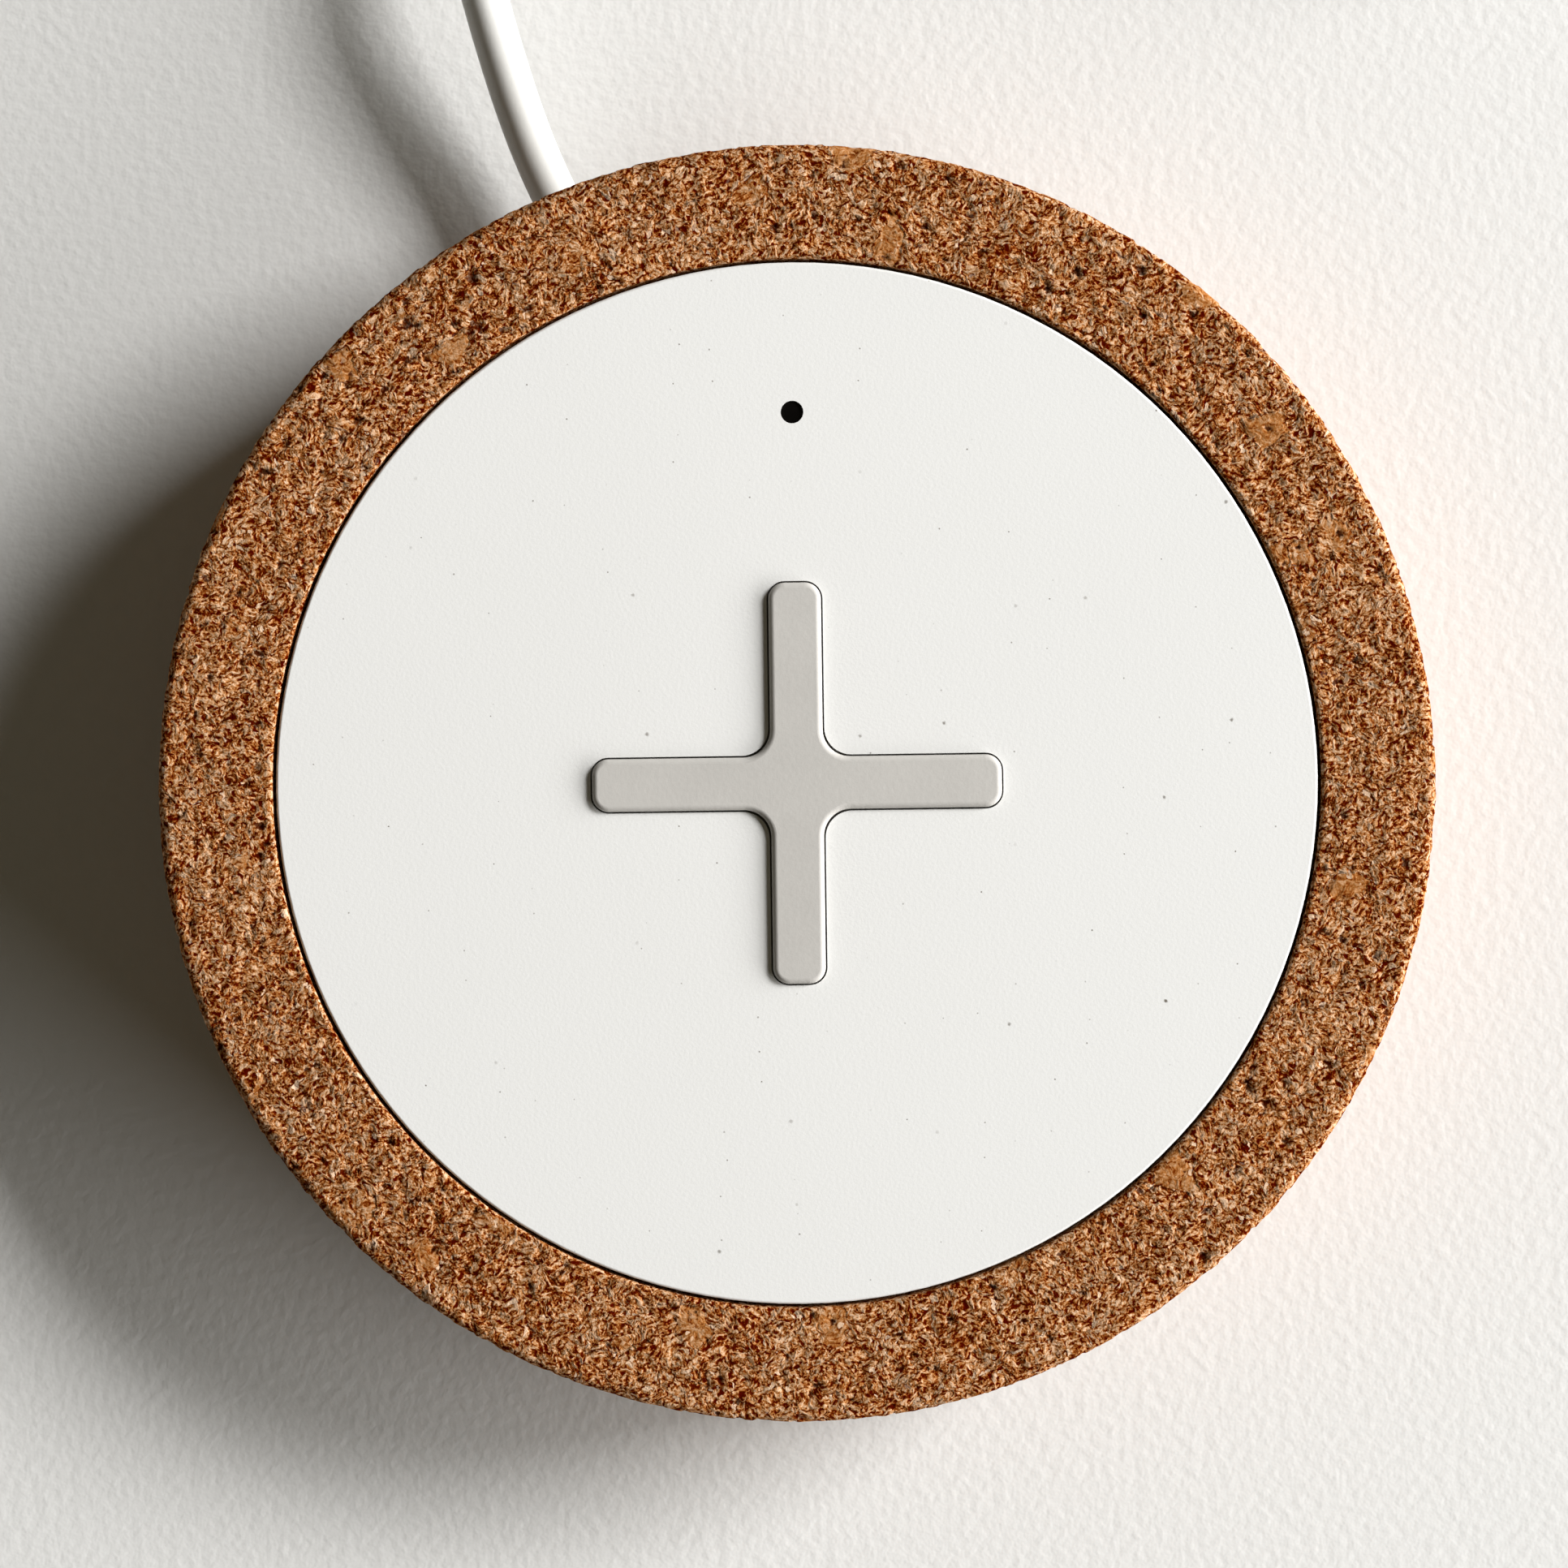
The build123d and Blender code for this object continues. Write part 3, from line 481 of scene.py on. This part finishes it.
def frozen(source, name):
    """A new object with source's mesh after its modifiers; source is removed."""
    depsgraph = bpy.context.evaluated_depsgraph_get()
    mesh = bpy.data.meshes.new_from_object(source.evaluated_get(depsgraph), depsgraph=depsgraph)
    bpy.data.objects.remove(source)
    mesh.name = name
    made = bpy.data.objects.new(name, mesh)
    bpy.context.scene.collection.objects.link(made)
    return made


def cork_ring():
    """The turned ring with the lead's hole and its relief, standing for the CAD ring."""
    ring = turned_ring("cork_blank", cork_profile(), RING_STEPS)
    cutter = lead_hole_cutter()
    bpy.context.view_layer.update()
    cut = ring.modifiers.new("lead_hole", "BOOLEAN")
    cut.operation = "DIFFERENCE"
    cut.solver = "EXACT"
    cut.object = cutter
    relief = ring.modifiers.new("relief", "NODES")
    relief.node_group = cork_relief()
    made = frozen(ring, "cork_ring_turned")
    bpy.data.objects.remove(cutter)
    made.data.polygons.foreach_set("use_smooth", [True] * len(made.data.polygons))
    made.data.materials.clear()
    made.data.materials.append(cork_material())
    place(made, "cork", "cork_ring")


# ---------------------------------------------------------------- plastics, rubbers and metals

DISC_LOW = (0.727, 0.726, 0.714)
DISC_HIGH = (0.75, 0.75, 0.739)
DISC_CLOUD = 0.02
DISC_GRAIN = 0.00022
DISC_GRAIN_DEPTH = 0.000009
DUST_COLOUR = (0.12, 0.10, 0.075)
DUST = ((0.00011, 0.0052, 0.80), (0.00005, 0.0026, 0.70))  # size, spacing, part left clean
SPECK_REACH = 3.2  # sizes of a speck to where its ragged edge may end
SPECK_CORE = 0.4


def disc_material():
    """Fine matt grain, a slight unevenness and a few specks of dust."""
    material, tree, shader, coords = new_material("disc_plastic", 0.55, Specular_IOR_Level=0.35)
    cloud = noise(tree, coords, DISC_CLOUD, 3.0).outputs[0]
    colour = mix(tree, cloud, DISC_LOW, DISC_HIGH)
    for size, spread, clean in DUST:
        cells = voronoi(tree, coords, spread)
        cells.voronoi_dimensions = "2D"
        apart = math(tree, "MULTIPLY", cells.outputs["Distance"], spread)
        ragged = noise(tree, coords, DISC_GRAIN).outputs[0]
        choice = split(tree, cells.outputs["Color"])
        edge = math(tree, "MULTIPLY", ragged, SPECK_REACH * size)
        speck = band(tree, apart, edge, SPECK_CORE * size)
        dusty = band(tree, choice[0], clean, clean + 0.02)
        dark = math(tree, "MULTIPLY", math(tree, "MULTIPLY", speck, dusty), choice[1])
        colour = mix(tree, dark, colour, DUST_COLOUR)
    grain = noise(tree, coords, DISC_GRAIN, 2.0, 0.6).outputs[0]
    roughness = band(tree, grain, 0.2, 0.8, 0.5, 0.62)
    normal = bump(tree, math(tree, "MULTIPLY", grain, DISC_GRAIN_DEPTH))
    feed(tree, shader, Base_Color=colour, Roughness=roughness, Normal=normal)
    return material


MOULDED_CLOUD = 0.006


def moulded_material(name, low, high, roughness, grain_size, grain_depth, specular):
    """Moulded plastic or rubber: two close tones, even grain and a slightly uneven shine."""
    material, tree, shader, coords = new_material(name, roughness, Specular_IOR_Level=specular)
    cloud = noise(tree, coords, MOULDED_CLOUD, 4.0, 0.6).outputs[0]
    grain = noise(tree, coords, grain_size, 2.0, 0.6).outputs[0]
    wide, close = math(tree, "MULTIPLY", cloud, 0.7), math(tree, "MULTIPLY", grain, 0.3)
    colour = ramp(tree, math(tree, "ADD", wide, close), [(0.3, low), (0.7, high)])
    shine = band(tree, cloud, 0.3, 0.7, roughness - 0.05, roughness + 0.06)
    normal = bump(tree, math(tree, "MULTIPLY", grain, grain_depth))
    feed(tree, shader, Base_Color=colour, Roughness=shine, Normal=normal)
    return material


METAL_CLOUD = 0.003
STREAK_SIZE = 0.0003
STREAK_DEPTH = 0.000006


def metal_material(name, low, high, roughness, streaks):
    """Drawn or plated metal, with fine lines squeezed along each axis by streaks."""
    material, tree, shader, coords = new_material(name, roughness, Metallic=1.0)
    stretched = vector_math(tree, "MULTIPLY", coords, streaks)
    lines = noise(tree, stretched, STREAK_SIZE, 4.0, 0.7).outputs[0]
    cloud = noise(tree, coords, METAL_CLOUD, 3.0).outputs[0]
    colour = mix(tree, cloud, low, high)
    shine = band(tree, lines, 0.3, 0.7, roughness - 0.06, roughness + 0.08)
    normal = bump(tree, math(tree, "MULTIPLY", lines, STREAK_DEPTH))
    feed(tree, shader, Base_Color=colour, Roughness=shine, Normal=normal)
    return material


THREAD = 0.00045
THREAD_DEPTH = 0.00005
FUZZ = 0.00012
STRAP_TONES = [(0.2, (0.16, 0.16, 0.165)), (0.8, (0.34, 0.34, 0.345))]


def strap_material():
    """Woven strap: crossing threads in a plain weave."""
    material, tree, shader, coords = new_material("tie_strap", 0.8, Sheen_Weight=0.25)
    turn = {"Vector": coords, "Angle": radians(45)}
    turned = add(tree, "ShaderNodeVectorRotate", turn).outputs[0]
    waves = []
    for along in split(tree, turned):
        waves.append(math(tree, "SINE", math(tree, "MULTIPLY", along, 2 * pi / THREAD)))
    cross = math(tree, "MULTIPLY", waves[0], waves[1])
    weave = math(tree, "ADD", cross, math(tree, "MULTIPLY", waves[1], waves[2]))
    fuzz = noise(tree, coords, FUZZ, 3.0).outputs[0]
    colour = ramp(tree, math(tree, "MULTIPLY_ADD", weave, 0.2, fuzz), STRAP_TONES)
    nap = math(tree, "MULTIPLY", fuzz, THREAD_DEPTH)
    height = math(tree, "MULTIPLY_ADD", weave, THREAD_DEPTH, nap)
    feed(tree, shader, Base_Color=colour, Normal=bump(tree, height))
    return material


COPPER_AREA = 0.004
TRACK_GAP = (0.06, 0.09)  # in the distance to an area's edge, in areas
TRACK_HEIGHT = 0.00003
FIBRE = 0.0004
MASK_TONES = [(0.1, (0.01, 0.10, 0.035)), (0.9, (0.04, 0.24, 0.09))]


def board_material():
    """Solder mask with broad copper areas just showing through."""
    material, tree, shader, coords = new_material("board_laminate", 0.4)
    copper = voronoi(tree, coords, COPPER_AREA, "DISTANCE_TO_EDGE").outputs["Distance"]
    track = band(tree, copper, *TRACK_GAP)
    fibre = noise(tree, coords, FIBRE).outputs[0]
    tone_and_shade = math(tree, "MULTIPLY_ADD", track, 0.5, math(tree, "MULTIPLY", fibre, 0.4))
    colour = ramp(tree, tone_and_shade, MASK_TONES)
    normal = bump(tree, math(tree, "MULTIPLY", track, TRACK_HEIGHT))
    feed(tree, shader, Base_Color=colour, Normal=normal)
    return material


# darkest and lightest colour, roughness, grain size, grain depth, specular level
MOULDED = {
    "casing_plastic": ((0.70, 0.69, 0.665), (0.78, 0.772, 0.748), 0.55, 0.0004, 0.00003, 0.4),
    "grip_rubber": ((0.463, 0.448, 0.424), (0.51, 0.494, 0.468), 0.62, 0.0003, 0.00001, 0.2),
    "foot_rubber": ((0.26, 0.26, 0.25), (0.36, 0.36, 0.35), 0.7, 0.0004, 0.00003, 0.3),
    "window_plastic": (
        (0.001, 0.001, 0.001), (0.003, 0.0025, 0.0025), 0.15, 0.0006, 0.000004, 0.3
    ),
    "cord_jacket": ((0.675, 0.672, 0.645), (0.745, 0.742, 0.718), 0.45, 0.0005, 0.00001, 0.35),
    "plug_grip": ((0.70, 0.695, 0.66), (0.79, 0.785, 0.75), 0.5, 0.0003, 0.00002, 0.4),
    "tongue_plastic": ((0.70, 0.70, 0.68), (0.80, 0.80, 0.78), 0.4, 0.0004, 0.00001, 0.4),
    "foam_tape": ((0.60, 0.60, 0.57), (0.80, 0.80, 0.77), 0.9, 0.0002, 0.00005, 0.2),
    "core_insulation": ((0.42, 0.03, 0.025), (0.60, 0.06, 0.05), 0.35, 0.0004, 0.000008, 0.4),
    "chip_resin": ((0.018, 0.018, 0.02), (0.045, 0.045, 0.048), 0.6, 0.00015, 0.00001, 0.4),
    "capacitor_ceramic": ((0.36, 0.25, 0.13), (0.56, 0.42, 0.25), 0.45, 0.0003, 0.00001, 0.4),
    "ferrite": ((0.045, 0.045, 0.05), (0.10, 0.10, 0.105), 0.65, 0.0002, 0.00002, 0.4),
    "sensor_resin": ((0.02, 0.02, 0.02), (0.06, 0.06, 0.06), 0.3, 0.0003, 0.00001, 0.4),
    "led_resin": ((0.72, 0.70, 0.52), (0.88, 0.87, 0.74), 0.35, 0.0003, 0.000006, 0.4),
}
# darkest and lightest colour, roughness, squeeze along X, Y and Z
METALS = {
    "plug_steel": ((0.62, 0.62, 0.64), (0.76, 0.76, 0.77), 0.26, (1, 1, 9)),
    "screw_steel": ((0.50, 0.50, 0.51), (0.66, 0.66, 0.66), 0.35, (1, 1, 1)),
    "contact_gilt": ((0.80, 0.55, 0.20), (0.92, 0.70, 0.33), 0.2, (1, 1, 9)),
    "stranded_copper": ((0.62, 0.27, 0.11), (0.80, 0.42, 0.20), 0.35, (1, 1, 6)),
}


def slot_materials():
    """One material for each slot that CAD nodes and new pieces take their finish from."""
    made = {"disc_plastic": disc_material()}
    for name, look in MOULDED.items():
        made[name] = moulded_material(name, *look)
    made["board_laminate"] = board_material()
    made["tie_strap"] = strap_material()
    for name, look in METALS.items():
        made[name] = metal_material(name, *look)
    return made


# ---------------------------------------------------------------- pieces


def place(piece, slot, *nodes):
    """Every new piece rides on the one body and stands for its CAD nodes, which are hidden; slot
    is not used.
    """
    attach(piece, "root")
    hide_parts(*nodes)


def cell(turn):
    """Column, from the outside, and layer of a turn: each layer is wound back over the last."""
    layer, step = divmod(turn, COIL_COLUMNS)
    column = step if layer % 2 == 0 else COIL_COLUMNS - 1 - step
    return column, layer


def coil_point(degrees_wound):
    """Control point of the coil after so many degrees, on the polygon round its turns."""
    turn = max(0, int(degrees_wound // 360))
    phase = degrees_wound - 360 * turn
    column, layer = cell(turn)
    next_column, next_layer = cell(turn + 1)
    part = min(max((phase - CROSSING[0]) / (CROSSING[1] - CROSSING[0]), 0), 1)
    eased = part * part * (3 - 2 * part)
    across = column + (next_column - column) * eased
    up = layer + (next_layer - layer) * eased
    if next_layer != layer:
        side = 1 if column > 0 else -1
        across += side * CROSSING_BULGE * sin(pi * part)
    middle = (COIL_COLUMNS - 1) / 2
    tied = min(max(1 + (TIE_HOLD - abs(phase - TIE_PHASE)) / TIE_EASE, 0), 1)
    across = middle + (across - middle) * (1 - TIE_SQUEEZE[0] * tied)
    up = middle + (up - middle) * (1 - TIE_SQUEEZE[1] * tied)
    # the polygon's corners lie a little outside the turn that it draws
    radius = (COIL_OUTER_TURN - COIL_PITCH * across) / cos(pi / POINTS_PER_TURN)
    height = CORD_DIAMETER / 2 + COIL_PITCH * up + TIE_LIFT * tied
    angle = radians(180 - phase)
    return COIL_CENTRE[0] + radius * cos(angle), COIL_CENTRE[1] + radius * sin(angle), height


def lead_points():
    """Control points of the whole lead: from the pad, round the coil and on to the plug."""
    step = 360 / POINTS_PER_TURN
    count = round(COIL_TURNS * POINTS_PER_TURN) + 2
    coil = [coil_point(step * (i - 0.5)) for i in range(count)]
    return CORD_ROUTE + coil + TAIL_ROUTE


def lead(jacket):
    """The whole lead as one smooth spline from inside the pad to the plug's boot."""
    curve = bpy.data.curves.new("lead", "CURVE")
    curve.dimensions = "3D"
    curve.resolution_u = 10
    curve.bevel_depth = CORD_DIAMETER / 2
    curve.bevel_resolution = 6
    curve.use_fill_caps = True
    points = lead_points()
    spline = curve.splines.new("NURBS")
    spline.points.add(len(points) - 1)
    for point, place_at in zip(spline.points, points):
        point.co = (*place_at, 1.0)
    spline.order_u = 3
    spline.use_endpoint_u = True
    spline.use_smooth = True
    made = bpy.data.objects.new("lead", curve)
    bpy.context.scene.collection.objects.link(made)
    curve.materials.append(jacket)
    place(made, "cord_jacket", "cord", "cord_coil", "cord_tail")


def finish_nodes(materials):
    """Every CAD node that stays gets the material of its slot."""
    slots = {part["node"]: part["material_slot"] for part in frame["record"]["subparts"]}
    for name, node in frame["nodes"].items():
        if slots[name] not in materials:
            continue
        for material_slot in node.material_slots:
            material_slot.material = materials[slots[name]]


# ---------------------------------------------------------------- floor, light and camera

LOOK_AT = (-0.000914, -0.000048)  # straight below the camera
CAMERA_HEIGHT = 0.236
CAMERA_ROLL = -0.78  # degrees
VIEW_WIDTH = 0.1102  # across the view at the rim's top
SENSOR_MM = 36.0
FLOOR_REACH = 20.0  # far enough that its edge lies on the horizon
FLOOR_GRAIN = 0.0009
FLOOR_GRAIN_DEPTH = 0.00005
FLOOR_LOW = (0.694, 0.693, 0.682)
FLOOR_HIGH = (0.714, 0.713, 0.702)
LIGHT_COLOUR = (1.0, 0.995, 0.985)
# azimuth and elevation in degrees, distance, width and height in metres, watts
WINDOWS = {
    "key_light": (23, 30, 2.4, 1.01, 0.56, 80.0),
    "side_light": (-6, 15, 3.0, 4.33, 0.93, 190.0),
}
HORIZON = (0.40, 0.385, 0.355)
ZENITH = (0.050, 0.042, 0.024)
SKY_BAND = (0.02, 0.45)  # from one to the other, in the direction's upward part


def floor():
    """A plain pale table top with a slight grain."""
    mesh = bpy.data.meshes.new("floor")
    far = FLOOR_REACH
    corners = [(-far, -far, 0), (far, -far, 0), (far, far, 0), (-far, far, 0)]
    mesh.from_pydata(corners, [], [(0, 1, 2, 3)])
    made = bpy.data.objects.new("floor", mesh)
    bpy.context.scene.collection.objects.link(made)
    material, tree, shader, coords = new_material("floor", 0.75, Specular_IOR_Level=0.2)
    grain = noise(tree, coords, FLOOR_GRAIN).outputs[0]
    colour = mix(tree, grain, FLOOR_LOW, FLOOR_HIGH)
    normal = bump(tree, math(tree, "MULTIPLY", grain, FLOOR_GRAIN_DEPTH))
    feed(tree, shader, Base_Color=colour, Normal=normal)
    mesh.materials.append(material)


def area_light(name, azimuth, elevation, distance, width, height, power):
    """A soft light in the given direction from the pad, turned towards it."""
    data = bpy.data.lights.new(name, "AREA")
    data.shape = "RECTANGLE"
    data.size = width
    data.size_y = height
    data.energy = power
    data.color = LIGHT_COLOUR
    made = bpy.data.objects.new(name, data)
    flat = distance * cos(radians(elevation))
    made.location = (
        flat * cos(radians(azimuth)),
        flat * sin(radians(azimuth)),
        distance * sin(radians(elevation)),
    )
    made.rotation_euler = (radians(90 - elevation), 0, radians(azimuth + 90))
    bpy.context.scene.collection.objects.link(made)


def lights():
    """Two soft windows low on the +X side, and a dim surround that is paler at the horizon."""
    for name, numbers in WINDOWS.items():
        area_light(name, *numbers)
    world = bpy.data.worlds.new("studio")
    world.use_nodes = True
    tree = world.node_tree
    direction = add(tree, "ShaderNodeTexCoord").outputs["Generated"]
    upwards = band(tree, split(tree, direction)[2], *SKY_BAND)
    surround = mix(tree, upwards, HORIZON, ZENITH)
    tree.links.new(surround, tree.nodes["Background"].inputs["Color"])
    bpy.context.scene.world = world


def camera():
    """Straight above the pad, framing the rim and the first of the lead."""
    data = bpy.data.cameras.new("camera")
    data.sensor_width = SENSOR_MM
    data.lens = SENSOR_MM * (CAMERA_HEIGHT - RIM_TOP) / VIEW_WIDTH
    data.clip_start = 0.01
    made = bpy.data.objects.new("camera", data)
    made.location = (*LOOK_AT, CAMERA_HEIGHT)
    made.rotation_euler = (0, 0, radians(CAMERA_ROLL))
    bpy.context.scene.collection.objects.link(made)
    bpy.context.scene.camera = made
    bpy.context.scene.view_settings.view_transform = "Standard"


materials = slot_materials()
finish_nodes(materials)
cork_ring()
lead(materials["cord_jacket"])
floor()
lights()
camera()
